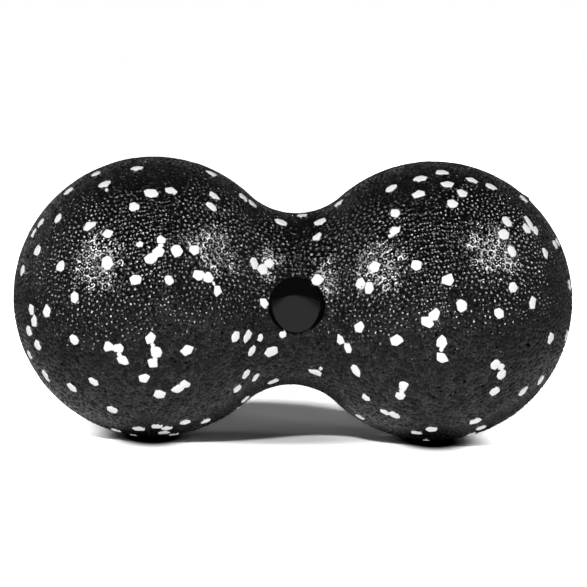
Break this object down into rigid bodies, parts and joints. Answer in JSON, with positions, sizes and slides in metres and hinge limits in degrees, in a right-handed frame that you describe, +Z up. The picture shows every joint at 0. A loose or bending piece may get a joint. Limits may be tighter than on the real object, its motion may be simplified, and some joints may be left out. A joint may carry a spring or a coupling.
{
  "type": "peanut massage ball",
  "caption": "Foam massage ball shaped like a peanut: two round balls joined by a narrow waist, with a small round disc set into its front.",
  "frame": {"origin": "middle of the long axis, halfway between the two ball centres", "axes": "+X along the axis to the right ball, -Y out of the front of the waist where the disc is, +Z up with the ball lying on its side"},
  "size_m": [0.24, 0.12, 0.1204],
  "materials": {
    "black_foam": "moulded bead foam with a fine pimpled, slightly shiny skin",
    "white_foam": "white foam beads fused flush with the skin",
    "disc_gloss": "glossy domed resin"
  },
  "bodies": {
    "root": {"foam_body": "black_foam", "white_granules": "white_foam", "centre_disc": "disc_gloss"}
  },
  "joints": []
}
